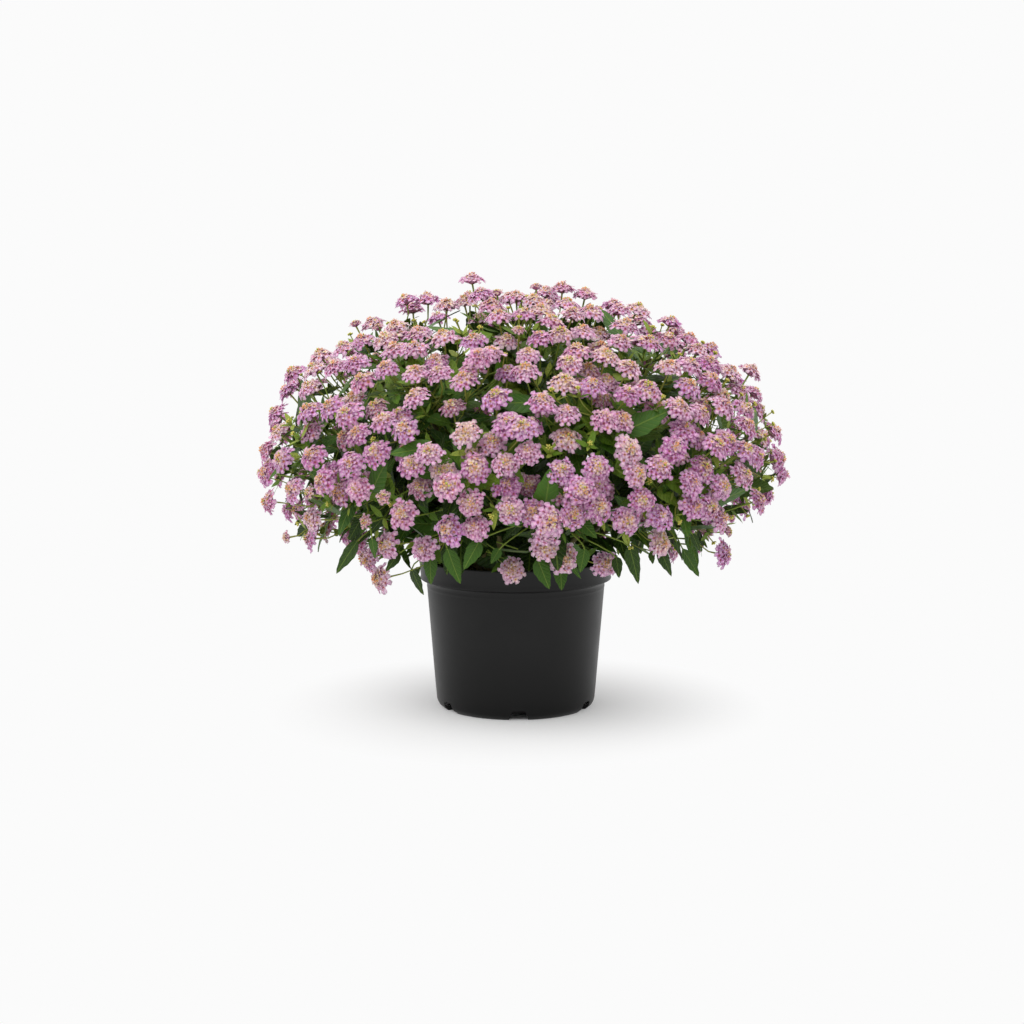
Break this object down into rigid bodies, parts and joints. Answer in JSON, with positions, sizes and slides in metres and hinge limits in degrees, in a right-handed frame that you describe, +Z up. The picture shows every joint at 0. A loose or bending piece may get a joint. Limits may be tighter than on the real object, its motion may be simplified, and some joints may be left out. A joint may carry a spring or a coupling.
{
  "type": "potted lantana",
  "caption": "Bushy lantana in bloom, a wide low dome of mauve flower heads and toothed leaves on thin stems, in a round black nursery pot with drain notches.",
  "frame": {"origin": "middle of the pot's underside, where it rests, on the pot's axis", "axes": "+Z up along the pot's axis; the front of the plant faces -Y"},
  "size_m": [0.5231, 0.5171, 0.4247],
  "materials": {
    "pot_plastic": "smooth, softly shining black moulded plastic",
    "soil": "crumbly dark brown peat",
    "foliage": "slightly rough, dull green leaf with a faint sheen",
    "petals": "soft, thin mauve petals, paler towards yellow and brown throats"
  },
  "bodies": {
    "root": {"pot": "pot_plastic", "soil": "soil", "leafy_stem_01": "foliage", "leafy_stem_02": "foliage", "leafy_stem_03": "foliage", "leafy_stem_04": "foliage", "leafy_stem_05": "foliage", "leafy_stem_06": "foliage", "leafy_stem_07": "foliage", "leafy_stem_08": "foliage", "leafy_stem_09": "foliage", "leafy_stem_10": "foliage", "leafy_stem_11": "foliage", "leafy_stem_12": "foliage", "leafy_stem_13": "foliage", "leafy_stem_14": "foliage", "leafy_stem_15": "foliage", "leafy_stem_16": "foliage", "leafy_stem_17": "foliage", "leafy_stem_18": "foliage", "leafy_stem_19": "foliage", "leafy_stem_20": "foliage", "leafy_stem_21": "foliage", "leafy_stem_22": "foliage", "leafy_stem_23": "foliage", "leafy_stem_24": "foliage", "leafy_stem_25": "foliage", "leafy_stem_26": "foliage", "leafy_stem_27": "foliage", "leafy_stem_28": "foliage"}
  },
  "joints": []
}
